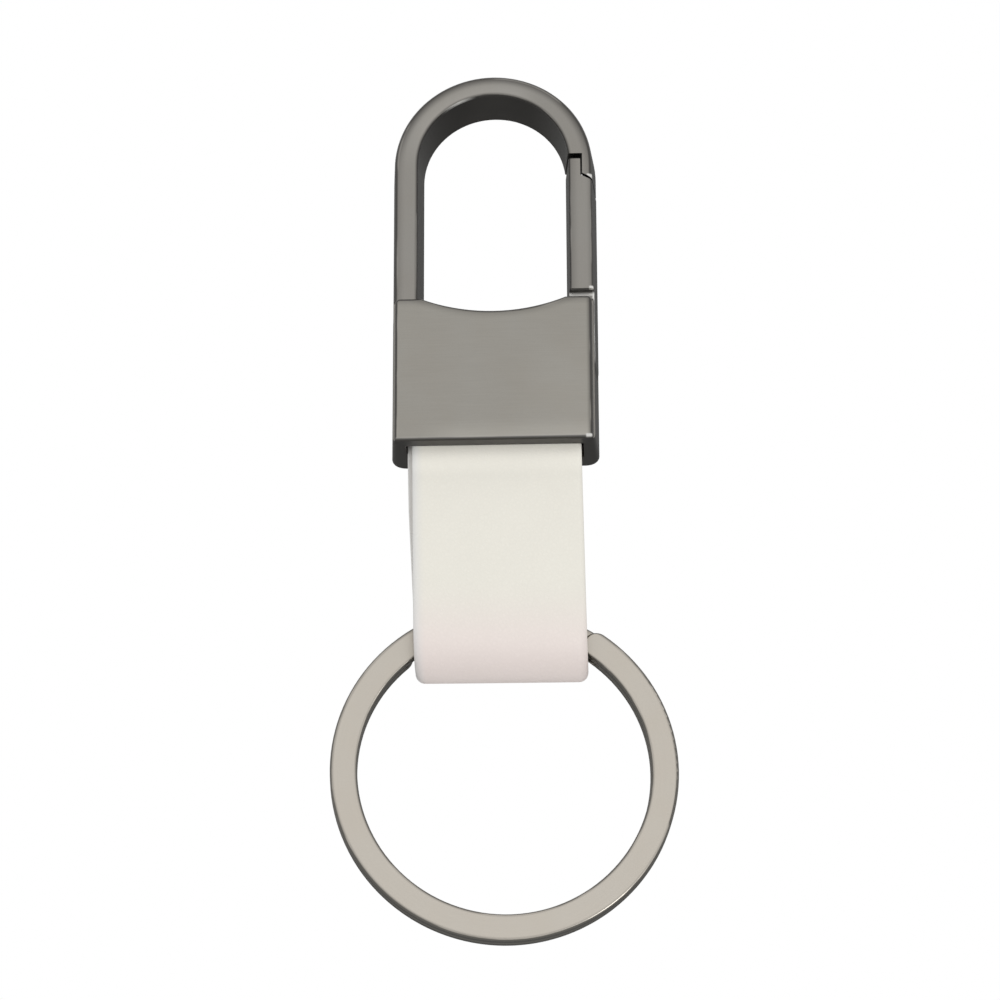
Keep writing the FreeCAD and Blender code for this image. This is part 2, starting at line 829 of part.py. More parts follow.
def arc_along(start, corner, end):
    """An arc between two points whose tangents meet at a corner."""
    middle = (start + end) / 2
    half = (end - start).Length / 2
    rise = (corner - middle).Length
    turn = math.atan2(rise, half)
    top = middle + (corner - middle) * (half * math.tan(turn / 2) / rise)
    return Part.Arc(start, top, end).toShape()


def biarc(first, first_way, last, last_way):
    """Two arcs that run smoothly from one point and direction to another."""
    gap = last - first
    both = first_way + last_way
    spread = 2 * (1 - first_way.dot(last_way))
    along = gap.dot(both)
    reach = (math.sqrt(along * along + spread * gap.dot(gap)) - along) / spread
    first_corner = first + first_way * reach
    last_corner = last - last_way * reach
    middle = (first_corner + last_corner) / 2
    return [arc_along(first, first_corner, middle), arc_along(middle, last_corner, last)]


def print_spring_gap(start, end):
    """Print the least gap between neighbouring turns of the spring."""
    steps = SPRING_TURNS * QUARTERS * QUARTERS
    per_turn = QUARTERS * QUARTERS
    points = [helix_point(number / steps, start, end)[0] for number in range(steps + 1)]
    gaps = []
    for number, point in enumerate(points):
        for other in points[number + per_turn // 2:]:
            gaps.append((point - other).Length)
    print("gate_spring least gap to itself %.2f mm" % (min(gaps) - size["wire_diameter"].value))


def make_gate_spring():
    """The coil spring between the block and the gate's tail."""
    wire_radius = size["wire_diameter"].value / 2
    start = spring_start.value + wire_radius + size["seat_clearance"].value
    end = spring_end.value - wire_radius - size["seat_clearance"].value
    edges = []
    quarters = SPRING_TURNS * QUARTERS
    for number in range(quarters):
        first = helix_point(number / quarters, start, end)
        last = helix_point((number + 1) / quarters, start, end)
        edges.extend(biarc(*first, *last))
    place, way = helix_point(0, start, end)
    section = Part.Wire([Part.makeCircle(wire_radius, place, way)])
    spring = doc.addObject("Part::Feature", "gate_spring")
    spring.Shape = Part.Wire(edges).makePipeShell([section], True, False)
    middle = BACK * tail_middle.value + UP * spring_z.value
    spring.Placement = FreeCAD.Placement(middle, FreeCAD.Rotation())
    spring.Label = "gate_spring"
    print_spring_gap(start, end)
    return spring


def make_pieces():
    """Every piece of the clip."""
    half_gap = size["leaf_gap"] / 2
    lining_inset = size["face_ply"] + size["glue_line"]
    return [
        make_clip_frame(),
        make_face_plate(),
        make_gate(),
        make_pin("gate_hinge_pin", pin_places()[0]),
        make_gate_spring(),
        make_strap_tab("strap_tab_front", half_gap),
        make_strap_tab("strap_tab_back", -(half_gap + leaf)),
        make_strap_pins(),
        make_strap_ply("strap_face", as_size(0), size["face_ply"]),
        make_strap_ply("strap_lining", lining_inset, leaf),
        make_split_ring(),
    ]


def check(pieces):
    """Stop if any object failed or any piece has no sound solid."""
    for thing in doc.Objects:
        if "Invalid" in thing.State or "Error" in thing.State:
            raise RuntimeError(thing.Name + " failed: " + ", ".join(thing.State))
    for piece in pieces:
        if piece.Shape.isNull() or not piece.Shape.isValid():
            raise RuntimeError(piece.Label + " has no valid shape")


def export(pieces):
    """Write one file for each piece."""
    os.makedirs("parts", exist_ok=True)
    for piece in pieces:
        piece.Shape.exportStep("parts/%s.step" % piece.Label)


pieces = make_pieces()
doc.recompute()
check(pieces)
export(pieces)
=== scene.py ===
"""Looks of the belt key clip: gunmetal bail and gate, brushed plate, white leather strap and split ring."""

import logging
import math
from dataclasses import dataclass
from enum import Enum
from typing import Any, Dict, Iterable, List, Mapping, Optional, Sequence, Tuple, Union

import bmesh
import bpy
from mathutils import Matrix, Vector

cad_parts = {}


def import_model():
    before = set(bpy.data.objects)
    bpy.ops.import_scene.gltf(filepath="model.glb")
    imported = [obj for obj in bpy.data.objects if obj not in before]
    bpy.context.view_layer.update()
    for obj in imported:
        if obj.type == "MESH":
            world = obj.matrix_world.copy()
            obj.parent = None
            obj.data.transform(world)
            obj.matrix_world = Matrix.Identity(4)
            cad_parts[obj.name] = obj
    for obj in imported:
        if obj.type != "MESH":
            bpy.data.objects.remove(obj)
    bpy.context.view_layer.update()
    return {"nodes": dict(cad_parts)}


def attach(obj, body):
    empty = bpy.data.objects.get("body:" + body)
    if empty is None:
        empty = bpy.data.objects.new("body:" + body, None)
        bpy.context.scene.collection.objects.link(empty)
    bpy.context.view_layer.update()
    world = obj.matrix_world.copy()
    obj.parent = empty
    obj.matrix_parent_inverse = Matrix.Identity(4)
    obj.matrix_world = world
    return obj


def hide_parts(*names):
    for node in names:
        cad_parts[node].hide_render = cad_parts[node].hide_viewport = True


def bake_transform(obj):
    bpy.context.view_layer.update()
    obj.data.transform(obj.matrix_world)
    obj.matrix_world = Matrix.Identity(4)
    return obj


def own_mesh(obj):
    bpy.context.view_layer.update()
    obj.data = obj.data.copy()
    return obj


log = logging.getLogger("belt_key_clip")

Colour = Tuple[float, float, float]
Place = Tuple[float, float, float]
Point = Tuple[float, float]
Span = Tuple[float, float]


class Value:
    """A socket in a shader tree. Arithmetic on it adds Math nodes."""

    def __init__(self, graph: "Graph", socket: bpy.types.NodeSocket) -> None:
        """Hold a socket and the graph that it belongs to."""
        self.graph = graph
        self.socket = socket

    def math(self, operation: str, *terms: "Term") -> "Value":
        """Add a Math node.

        Args:
            operation: The node's operation.
            terms: The node's inputs, in order.

        Returns:
            The node's result.
        """
        node = self.graph.node("ShaderNodeMath", {"operation": operation}, dict(enumerate(terms)))
        return Value(self.graph, node.outputs[0])

    def __add__(self, other: "Term") -> "Value":
        """This value plus another."""
        return self.math("ADD", self, other)

    def __radd__(self, other: "Term") -> "Value":
        """A number plus this value."""
        return self.math("ADD", other, self)

    def __sub__(self, other: "Term") -> "Value":
        """This value less another."""
        return self.math("SUBTRACT", self, other)

    def __rsub__(self, other: "Term") -> "Value":
        """A number less this value."""
        return self.math("SUBTRACT", other, self)

    def __mul__(self, other: "Term") -> "Value":
        """This value times another."""
        return self.math("MULTIPLY", self, other)

    def __rmul__(self, other: "Term") -> "Value":
        """A number times this value."""
        return self.math("MULTIPLY", other, self)

    def __pow__(self, other: "Term") -> "Value":
        """This value to a power."""
        return self.math("POWER", self, other)

    def __abs__(self) -> "Value":
        """This value without its sign."""
        return self.math("ABSOLUTE", self)

    def at_least(self, other: "Term") -> "Value":
        """The larger of the two."""
        return self.math("MAXIMUM", self, other)

    def rise(self, low: float, high: float) -> "Value":
        """A smooth step from 0 at low to 1 at high.

        Args:
            low: The value at which the step starts.
            high: The value at which it ends.

        Returns:
            The step, from 0 to 1.
        """
        settings = {"interpolation_type": "SMOOTHSTEP"}
        sockets = {"Value": self, "From Min": low, "From Max": high}
        node = self.graph.node("ShaderNodeMapRange", settings, sockets)
        return Value(self.graph, node.outputs[0])


Term = Union[Value, float, Sequence[float]]
Settings = Mapping[str, Any]
Sockets = Mapping[Union[str, int], Term]


class Graph:
    """Adds nodes to the tree of one material or of the world."""

    def __init__(self, tree: bpy.types.NodeTree) -> None:
        """Start with an empty tree."""
        self.tree = tree
        tree.nodes.clear()

    def node(self, kind: str, settings: Settings, sockets: Sockets) -> bpy.types.Node:
        """Add a node.

        Args:
            kind: The node's type.
            settings: Its properties, set first.
            sockets: Values or links of its inputs, by name or number.

        Returns:
            The new node.
        """
        node = self.tree.nodes.new(kind)
        for name, setting in settings.items():
            setattr(node, name, setting)
        for key, term in sockets.items():
            socket = node.inputs[key] if isinstance(key, int) else self.find(node.inputs, key)
            if isinstance(term, Value):
                self.tree.links.new(term.socket, socket)
            elif socket.type == "RGBA":
                socket.default_value = (*term, 1.0)
            else:
                socket.default_value = term
        return node

    @staticmethod
    def find(sockets: Iterable[bpy.types.NodeSocket], name: str) -> bpy.types.NodeSocket:
        """The first socket in use that has a name."""
        return next(socket for socket in sockets if socket.enabled and socket.name == name)

    def take(self, kind: str, settings: Settings, sockets: Sockets, out: str) -> Value:
        """Add a node and take one of its outputs.

        Args:
            kind: The node's type.
            settings: Its properties.
            sockets: Values or links of its inputs.
            out: The name of the output.

        Returns:
            That output.
        """
        return Value(self, self.find(self.node(kind, settings, sockets).outputs, out))

    def mix(self, share: Term, first: Term, second: Term) -> Value:
        """Mix two colours.

        Args:
            share: How much of the second shows.
            first: The colour at 0.
            second: The colour at 1.

        Returns:
            The mixed colour.
        """
        sockets = {"Factor": share, "A": first, "B": second}
        return self.take("ShaderNodeMix", {"data_type": "RGBA"}, sockets, "Result")

    def multiply(self, first: Term, second: Term) -> Value:
        """Multiply two colours."""
        settings = {"data_type": "RGBA", "blend_type": "MULTIPLY"}
        return self.take("ShaderNodeMix", settings, {"Factor": 1.0, "A": first, "B": second}, "Result")

    def shade(self, colour: Term, level: Value) -> Value:
        """Make a colour lighter or darker by a level around 1."""
        grey = self.take("ShaderNodeCombineColor", {}, {"Red": level, "Green": level, "Blue": level}, "Color")
        return self.multiply(colour, grey)

    def vector(self, operation: str, first: Term, second: Term, out: str = "Vector") -> Value:
        """Add a Vector Math node.

        Args:
            operation: The node's operation.
            first: Its first vector.
            second: Its second vector.
            out: The name of the output.

        Returns:
            That output.
        """
        return self.take("ShaderNodeVectorMath", {"operation": operation}, {0: first, 1: second}, out)

    def distance(self, spot: Value, axis: Place) -> Value:
        """How far a point lies from an axis through the origin, given as a direction of length 1."""
        return self.vector("LENGTH", self.vector("CROSS_PRODUCT", spot, axis), (0.0, 0.0, 0.0), "Value")

    def axes(self, vector: Value) -> Tuple[Value, Value, Value]:
        """The three numbers of a vector."""
        node = self.node("ShaderNodeSeparateXYZ", {}, {"Vector": vector})
        return Value(self, node.outputs[0]), Value(self, node.outputs[1]), Value(self, node.outputs[2])

    def join(self, x: Term, y: Term, z: Term) -> Value:
        """A vector of three numbers."""
        return self.take("ShaderNodeCombineXYZ", {}, {"X": x, "Y": y, "Z": z}, "Vector")

    def noise(self, place: Value, scale: float, detail: float = 2.0, roughness: float = 0.5) -> Value:
        """Smooth noise around one half.

        Args:
            place: Where it is read.
            scale: How many of its cells fit in one unit.
            detail: How many finer layers it has.
            roughness: How strong those are.

        Returns:
            The noise.
        """
        sockets = {"Vector": place, "Scale": scale, "Detail": detail, "Roughness": roughness}
        return self.take("ShaderNodeTexNoise", {}, sockets, "Fac")

    def bump(self, height: Value, strength: float, distance: float, normal: Optional[Value] = None) -> Value:
        """Turn a height into a normal.

        Args:
            height: The height.
            strength: How much of it shows.
            distance: How far a height of 1 stands out, in metres.
            normal: The normal below it, if any.

        Returns:
            The new normal.
        """
        sockets: Dict[Union[str, int], Term] = {"Strength": strength, "Distance": distance, "Height": height}
        if normal is not None:
            sockets["Normal"] = normal
        return self.take("ShaderNodeBump", {}, sockets, "Normal")


def new_material(name: str) -> Tuple[bpy.types.Material, Graph]:
    """A material with an empty tree.

    Args:
        name: The material's name.

    Returns:
        The material and its graph.
    """
    material = bpy.data.materials.new(name)
    material.use_nodes = True
    return material, Graph(material.node_tree)


def close_surface(graph: Graph, sockets: Sockets) -> None:
    """End a material in one surface shader.

    Args:
        graph: The material's graph.
        sockets: The shader's values and links.
    """
    shader = graph.take("ShaderNodeBsdfPrincipled", {}, sockets, "BSDF")
    graph.node("ShaderNodeOutputMaterial", {}, {"Surface": shader})


def clear_of(distance: Value, rim: float, shade: float, share: Term = 0.65) -> Value:
    """How clear a point is of an edge, with a painted dark rim and a softer painted shade beyond it.

    Args:
        distance: How far the point lies from the edge.
        rim: The width of the rim.
        shade: The width of the shade.
        share: How much of the darkness is the rim's.

    Returns:
        The share, from 0 on the edge to 1 past the shade.
    """
    return distance.rise(0.0, rim) * share + distance.rise(0.0, shade) * (1.0 - share)


def clamp(number: float) -> float:
    """A number kept between 0 and 1."""
    return min(1.0, max(0.0, number))


def part_way(first: Point, second: Point, share: float) -> Point:
    """The point a share of the way from one point to another."""
    return first[0] + (second[0] - first[0]) * share, first[1] + (second[1] - first[1]) * share


class Grain(Enum):
    """How the fine lines of a metal finish run."""

    ACROSS = "straight across the width"
    UPRIGHT = "straight up and down"
    ROUND = "round the ring"


class Outline:
    """Where the broad faces of a metal piece end; near these ends the colour is painted dark as painted shade
    of the rounded edges. This plain one is for pieces without such faces.
    """

    def inside(self, graph: Graph, place: Value) -> Term:
        """How far a point is clear of the painted dark rim, from 0 on it to 1 well inside."""
        return 1.0

    def lift(self, graph: Graph, place: Value) -> Term:
        """Painted light: how much lighter a point is painted than the face around it."""
        return 0.0


@dataclass(frozen=True)
class BailOutline(Outline):
    """The arch and its legs, which draw in towards the front, with painted shade along their rims and painted
    light on the crown.
    """

    inner: float = 0.00756
    outer: float = 0.01084
    drop: float = 0.0002
    draft: float = 0.078
    back: float = 0.00255
    foot: Span = (0.02337, 0.02377)
    outer_rim: float = 0.0004
    outer_shade: float = 0.0012
    inner_rim: float = 0.0004
    inner_shade: float = 0.0004
    rim_share: float = 0.65
    crown: Span = (-0.009, -0.002)
    crown_band: Span = (0.0006, 0.0024)
    crown_painted_light: float = 0.2
    gate_side: Span = (0.002, 0.0055)

    @staticmethod
    def reach(x: Value, z: Value, centre: float) -> Value:
        """How far a point lies from the line that the bail goes round.

        Args:
            x: The point's place across.
            z: Its height.
            centre: The height of the arch's centre.

        Returns:
            The distance in metres.
        """
        up = (z - centre).at_least(0.0)
        return (x * x + up * up) ** 0.5

    def inside(self, graph: Graph, place: Value) -> Term:
        """How far a point is clear of the bail's rims, which are painted dark as painted shade, more softly
        at the crown. The block below counts as clear.

        Args:
            graph: The material's graph.
            place: The point on the piece.

        Returns:
            The share.
        """
        x, y, z = graph.axes(place)
        slope = self.draft * (self.back - y)
        outer = self.outer - slope - self.reach(x, z, -self.inner - self.drop)
        inner = self.reach(x, z, -self.inner) - slope - self.inner
        share = self.rim_share - z.rise(*self.crown) * self.rim_share
        clear = clear_of(outer, self.outer_rim, self.outer_shade, share)
        clear = clear * clear_of(inner, self.inner_rim, self.inner_shade)
        return clear.at_least((0.0 - z).rise(*self.foot))

    def lift(self, graph: Graph, place: Value) -> Term:
        """Painted light: the crown is painted lighter towards its inner edge, less so on the gate's side.

        Args:
            graph: The material's graph.
            place: The point on the piece.

        Returns:
            The share.
        """
        x, _, z = graph.axes(place)
        out = self.outer - self.reach(x, z, -self.inner - self.drop)
        lit = z.rise(*self.crown) * out.rise(*self.crown_band) * self.crown_painted_light
        return lit * (1.0 - x.rise(*self.gate_side))


@dataclass(frozen=True)
class PlateOutline(Outline):
    """The face plate with the scoop in its upper edge, with painted shade along its rims and painted light at
    its foot and on the gate's side.
    """

    half: float = 0.01024
    top: float = -0.02337
    scoop_radius: float = 0.01992
    scoop_z: float = -0.00492
    left_rim: float = 0.00025
    right_rim: float = 0.0007
    top_rim: float = 0.00045
    top_shade: float = 0.0011
    foot: Span = (0.0367, 0.0392)
    foot_side: Span = (-0.009, -0.003)
    foot_painted_light: float = 0.2
    gate_side: Span = (0.0, 0.008)
    lower_half: Span = (0.026, 0.034)
    side_painted_light: float = 0.05

    def inside(self, graph: Graph, place: Value) -> Term:
        """How far a point is clear of the plate's sides and upper edge, whose rims are painted dark as
        painted shade.

        Args:
            graph: The material's graph.
            place: The point on the piece.

        Returns:
            The share.
        """
        x, _, z = graph.axes(place)
        up = z - self.scoop_z
        scoop = (x * x + up * up) ** 0.5 - self.scoop_radius
        upper = clear_of(self.top - z, self.top_rim, self.top_shade)
        upper = upper * clear_of(scoop, self.top_rim, self.top_shade)
        return upper * (self.half - x).rise(0.0, self.right_rim) * (self.half + x).rise(0.0, self.left_rim)

    def lift(self, graph: Graph, place: Value) -> Term:
        """Painted light: the plate is painted lighter at its foot and on the gate's side.

        Args:
            graph: The material's graph.
            place: The point on the piece.

        Returns:
            The share.
        """
        x, _, z = graph.axes(place)
        down = 0.0 - z
        low = down.rise(*self.foot) * x.rise(*self.foot_side) * self.foot_painted_light
        return low + x.rise(*self.gate_side) * down.rise(*self.lower_half) * self.side_painted_light


@dataclass(frozen=True)
class RingOutline(Outline):
    """A flat ring whose inner and outer rims are painted dark as painted shade."""

    centre: Place
    axis: Place
    inner: float = 0.01475
    outer: float = 0.0175
    inner_rim: float = 0.0004
    outer_rim: float = 0.00046

    def inside(self, graph: Graph, place: Value) -> Term:
        """How far a point is clear of the ring's inner and outer rim, which are painted dark as painted
        shade.

        Args:
            graph: The material's graph.
            place: The point on the piece.

        Returns:
            The share.
        """
        out = graph.distance(graph.vector("SUBTRACT", place, self.centre), self.axis)
        return (out - self.inner).rise(0.0, self.inner_rim) * (self.outer - out).rise(0.0, self.outer_rim)


@dataclass(frozen=True)
class PaintedHighlight:
    """A painted highlight: a stretch of a metal piece painted bright."""

    low: Place
    high: Place
    level: float = 1.0
    soft: float = 0.0001
    fade: float = 0.0001

    @staticmethod
    def between(part: Value, low: float, high: float, soft: float) -> Value:
        """Whether a number lies between two others.

        Args:
            part: The number.
            low: The lower end.
            high: The upper end.
            soft: How far the ends fade to either side.

        Returns:
            The share, from 0 outside to 1 inside.
        """
        return part.rise(low - soft, low + soft) * (1.0 - part.rise(high - soft, high + soft))

    def share(self, graph: Graph, place: Value) -> Value:
        """How much of the painted highlight a point gets.

        Args:
            graph: The material's graph.
            place: The point on the piece.

        Returns:
            The share, from 0 to the stretch's level.
        """
        softs = (self.fade, self.soft, self.soft)
        x, y, z = (self.between(*ends) for ends in zip(graph.axes(place), self.low, self.high, softs))
        return x * y * z * self.level


@dataclass(frozen=True)
class ArchHighlight(PaintedHighlight):
    """A painted highlight that follows the arch's inner edge and fades towards its ends."""

    fade: float = 0.001
    centre_z: float = -0.00756
    inner: float = 0.00774
    outer: float = 0.00815

    def share(self, graph: Graph, place: Value) -> Value:
        """How much of the painted highlight a point gets.

        Args:
            graph: The material's graph.
            place: The point on the piece.

        Returns:
            The share, from 0 to the stretch's level.
        """
        x, _, z = graph.axes(place)
        up = z - self.centre_z
        out = (x * x + up * up) ** 0.5
        return super().share(graph, place) * self.between(out, self.inner, self.outer, self.soft)


@dataclass(frozen=True)
class Marks:
    """What varies over a metal piece: where it is brushed and keeps its lighter colour rather than the
    painted shade of its sides and rims, where it is worn and painted with highlights, and its lines, clouds
    and specks.
    """

    brushed: Value
    wear_and_highlight: Value
    lines: Value
    mottle: Value
    speck: Value


@dataclass(frozen=True)
class SatinMetal:
    """A plated metal whose brushed front faces are painted lighter than its other faces and rims, which take
    a darker copy of the plating as painted shade; its edges are worn bright in places, partly as painted
    highlight, and listed stretches carry painted highlights.
    """

    name: str
    colour: Colour
    side_shade_colour: Colour
    roughness: float
    grain: Grain
    side_roughness: float = 0.34
    face_axis: Place = (0.0, 1.0, 0.0)
    centre: Place = (0.0, 0.0, 0.0)
    line_width: float = 0.00009
    line_length: float = 0.004
    line_depth: float = 0.000004
    line_level: float = 0.07
    round_radius: float = 0.016
    mottle_size: float = 0.0045
    mottle_level: float = 0.05
    warm_tint: Colour = (1.012, 1.0, 0.985)
    cool_tint: Colour = (0.99, 1.0, 1.012)
    tint_gain: float = 1.4
    speck_scale: float = 9000.0
    speck_level: float = 0.06
    speck_height: float = 0.5
    side_mottle: float = 0.16
    side_speck: float = 0.12
    line_roughness: float = 0.16
    mottle_roughness: float = 0.06
    wear_polish: float = 0.06
    bump_strength: float = 0.6
    anisotropy: float = 0.25
    face_turn: Span = (0.85, 0.995)
    wear_and_highlight_turn: Span = (0.8, 0.93)
    wear_and_highlight_end: Span = (0.965, 0.996)
    wear_and_highlight_patches: Span = (0.46, 0.64)
    wear_and_highlight_size: float = 0.005
    wear_and_highlight_level: float = 0.3
    wear_and_highlight_gain: float = 1.7
    outline: Outline = Outline()
    highlights: Tuple[PaintedHighlight, ...] = ()
    highlight_colour: Colour = (0.8, 0.79, 0.76)

    def lines(self, graph: Graph, place: Value) -> Value:
        """The brushed lines, around zero.

        Args:
            graph: The material's graph.
            place: The point on the piece.

        Returns:
            The lines.
        """
        fine = 1.0 / self.line_width
        long = 1.0 / self.line_length
        spot = graph.vector("SUBTRACT", place, self.centre)
        x, y, z = graph.axes(spot)
        if self.grain is Grain.ROUND:
            depth = graph.vector("DOT_PRODUCT", spot, self.face_axis, "Value")
            turn = z.math("ARCTAN2", z, x)
            out = graph.distance(spot, self.face_axis)
            stretched = graph.join(out * fine, turn * (self.round_radius * long), depth * fine)
        elif self.grain is Grain.ACROSS:
            stretched = graph.join(x * long, y * fine, z * fine)
        else:
            stretched = graph.join(x * fine, y * fine, z * long)
        return graph.noise(stretched, 1.0, detail=3.0, roughness=0.6) - 0.5

    def marks(self, graph: Graph, place: Value) -> Marks:
        """Find what varies over the piece.

        Args:
            graph: The material's graph.
            place: The point on the piece.

        Returns:
            The marks.
        """
        normal = graph.take("ShaderNodeTexCoord", {}, {}, "Normal")
        facing = abs(graph.vector("DOT_PRODUCT", normal, self.face_axis, "Value"))
        patchy = graph.noise(place, 1.0 / self.wear_and_highlight_size, detail=3.0).rise(*self.wear_and_highlight_patches)
        # brushed marks the front faces clear of the rims; elsewhere the colour turns to the painted shade of
        # the sides
        return Marks(
            brushed=facing.rise(*self.face_turn) * self.outline.inside(graph, place),
            wear_and_highlight=facing.rise(*self.wear_and_highlight_turn) * (1.0 - facing.rise(*self.wear_and_highlight_end)) * patchy,
            lines=self.lines(graph, place),
            mottle=graph.noise(place, 1.0 / self.mottle_size, detail=3.0) - 0.5,
            speck=graph.noise(place, self.speck_scale, detail=1.0) - 0.5,
        )

    def paint(self, graph: Graph, place: Value, marks: Marks) -> Value:
        """The colour of the plating, with painted shade on the sides and rims, painted light and painted
        highlights.

        Args:
            graph: The material's graph.
            place: The point on the piece.
            marks: What varies over the piece.

        Returns:
            The colour.
        """
        warm = graph.mix(marks.mottle * self.tint_gain + 0.5, self.warm_tint, self.cool_tint)
        level = 1.0 + marks.mottle * (2 * self.mottle_level) + marks.lines * (2 * self.line_level)
        # Painted light: the outline's lighter stretches raise the level
        level = level + marks.speck * self.speck_level + self.outline.lift(graph, place)
        # Painted shade: faces that don't face the front, and the rims, take a darker copy of the plating
        side_level = 1.0 + marks.mottle * self.side_mottle + marks.speck * self.side_speck
        side = graph.shade(self.side_shade_colour, side_level)
        face = graph.shade(graph.multiply(self.colour, warm), level)
        # Edge wear, partly painted highlight: patches next to each face's edge are brightened
        bare_and_highlight = tuple(min(1.0, part * self.wear_and_highlight_gain) for part in self.colour)
        colour = graph.mix(marks.wear_and_highlight * self.wear_and_highlight_level, graph.mix(marks.brushed, side, face), bare_and_highlight)
        # Painted highlights in the listed stretches
        for highlight in self.highlights:
            colour = graph.mix(highlight.share(graph, place), colour, self.highlight_colour)
        return colour

    def make(self) -> bpy.types.Material:
        """Build the material.

        Returns:
            The material.
        """
        material, graph = new_material(self.name)
        place = graph.take("ShaderNodeTexCoord", {}, {}, "Object")
        marks = self.marks(graph, place)
        spread = self.side_roughness + (self.roughness - self.side_roughness) * marks.brushed
        uneven = marks.lines * self.line_roughness + marks.mottle * self.mottle_roughness
        rough = spread + uneven * marks.brushed - marks.wear_and_highlight * self.wear_polish
        height = marks.lines * marks.brushed + marks.speck * self.speck_height
        close_surface(graph, {
            "Base Color": self.paint(graph, place, marks), "Metallic": 1.0, "Roughness": rough,
            "Anisotropic": self.anisotropy, "Normal": graph.bump(height, self.bump_strength, self.line_depth),
        })
        return material


@dataclass(frozen=True)
class SmoothLeather:
    """A coated leather with a fine pebble and creases in its fold, with painted shade in the fold and along
    the left edge and painted light near the mouth.
    """

    name: str
    colour: Colour
    fold_shade_colour: Colour
    edge_shade_colour: Colour
    half_width: float
    fold_start: float
    roughness: float = 0.46
    pebble_size: float = 0.00042
    pebble_depth: float = 0.000016
    pebble_shift: float = 0.0004
    pebble_strength: float = 0.55
    pebble_mean: float = 0.7
    pebble_level: float = 0.025
    pebble_roughness: float = 0.1
    shift_scale: float = 900.0
    cell_edge: Span = (0.0, 0.32)
    cell_share: float = 0.7
    grit_scale: float = 5200.0
    grit_share: float = 0.3
    cloud_scale: float = 210.0
    cloud_level: float = 0.035
    cloud_roughness: float = 0.1
    fine_scale: float = 2600.0
    fine_level: float = 0.02
    crease_scales: Span = (160.0, 2600.0)
    crease_height: float = 1.2
    wave_scale: float = 330.0
    wave_depth: float = 0.00006
    wave_strength: float = 0.5
    edge_band: float = 0.0013
    edge_share: float = 0.75
    edge_polish: float = 0.08
    edge_smooth: float = 0.85
    fold_shares: Span = (0.4, 1.9)
    mouth_light_shares: Span = (3.75, 4.2)
    mouth_light_level: float = 0.2

    def pebble(self, graph: Graph, place: Value) -> Value:
        """The leather's grain, as a height from 0 to 1.

        Args:
            graph: The material's graph.
            place: The point on the strap.

        Returns:
            The height.
        """
        sockets = {"Vector": place, "Scale": self.shift_scale, "Detail": 2.0}
        shift = graph.take("ShaderNodeTexNoise", {}, sockets, "Color")
        moved = graph.vector("ADD", place, graph.vector("MULTIPLY", shift, (self.pebble_shift,) * 3))
        sockets = {"Vector": moved, "Scale": 1.0 / self.pebble_size}
        cells = graph.take("ShaderNodeTexVoronoi", {"feature": "DISTANCE_TO_EDGE"}, sockets, "Distance")
        grit = graph.noise(place, self.grit_scale)
        return cells.rise(*self.cell_edge) * self.cell_share + grit * self.grit_share

    def make(self) -> bpy.types.Material:
        """Build the material.

        Returns:
            The material.
        """
        material, graph = new_material(self.name)
        place = graph.take("ShaderNodeAttribute", {"attribute_name": "strap_place"}, {}, "Vector")
        across, along, _ = graph.axes(place)
        pebble = self.pebble(graph, place)
        cloud = graph.noise(place, self.cloud_scale, detail=3.0) - 0.5
        fine = graph.noise(place, self.fine_scale) - 0.5
        # Painted shade: the fold takes a darker, pinker colour where the strap turns down
        fold = 1.0 - abs(along).rise(*(self.fold_start * share for share in self.fold_shares))
        # Painted light near the mouth, against the shade under the block's lip
        mouth_light = abs(along).rise(*(self.fold_start * share for share in self.mouth_light_shares))
        # Painted shade along the left edge
        edge = (0.0 - across).rise(self.half_width - self.edge_band, self.half_width)
        wide, narrow = self.crease_scales
        creases = graph.noise(graph.join(across * wide, along * narrow, 0.0), 1.0, detail=3.0) - 0.5
        colour = graph.mix(fold, self.colour, self.fold_shade_colour)
        colour = graph.mix(edge * self.edge_share, colour, self.edge_shade_colour)
        level = 1.0 + cloud * self.cloud_level + fine * self.fine_level
        level = level + (pebble - self.pebble_mean) * self.pebble_level + mouth_light * self.mouth_light_level
        rough = self.roughness + cloud * self.cloud_roughness + (0.5 - pebble) * self.pebble_roughness
        height = pebble * (1.0 - edge * self.edge_smooth) + creases * fold * self.crease_height
        normal = graph.bump(height, self.pebble_strength, self.pebble_depth)
        wave = graph.noise(place, self.wave_scale, detail=1.0)
        close_surface(graph, {
            "Base Color": graph.shade(colour, level), "Roughness": rough - edge * self.edge_polish,
            "Normal": graph.bump(wave, self.wave_strength, self.wave_depth, normal),
            "IOR": 1.46, "Specular IOR Level": 0.42, "Coat Weight": 0.06, "Coat Roughness": 0.35,
            "Sheen Weight": 0.04, "Sheen Roughness": 0.4,
        })
        return material


@dataclass(frozen=True)
class StudioPaper:
    """The pale matt floor."""

    name: str = "studio_paper"
    colour: Colour = (0.9, 0.9, 0.895)
    cloud_scale: float = 3.0
    cloud_level: float = 0.012

    def make(self) -> bpy.types.Material:
        """Build the material.

        Returns:
            The material.
        """
        material, graph = new_material(self.name)
        place = graph.take("ShaderNodeTexCoord", {}, {}, "Object")
        cloud = graph.noise(place, self.cloud_scale) - 0.5
        colour = graph.shade(self.colour, 1.0 + cloud * self.cloud_level)
        close_surface(graph, {"Base Color": colour, "Roughness": 0.85, "Specular IOR Level": 0.2})
        return material


@dataclass(frozen=True)
class DarkCard:
    """The dark card that metal reflects in a studio."""

    name: str = "studio_black_card"
    colour: Colour = (0.22, 0.22, 0.2156)

    def make(self) -> bpy.types.Material:
        """Build the material.

        Returns:
            The material.
        """
        material, graph = new_material(self.name)
        glow = graph.take("ShaderNodeEmission", {}, {"Color": self.colour, "Strength": 1.0}, "Emission")
        graph.node("ShaderNodeOutputMaterial", {}, {"Surface": glow})
        return material


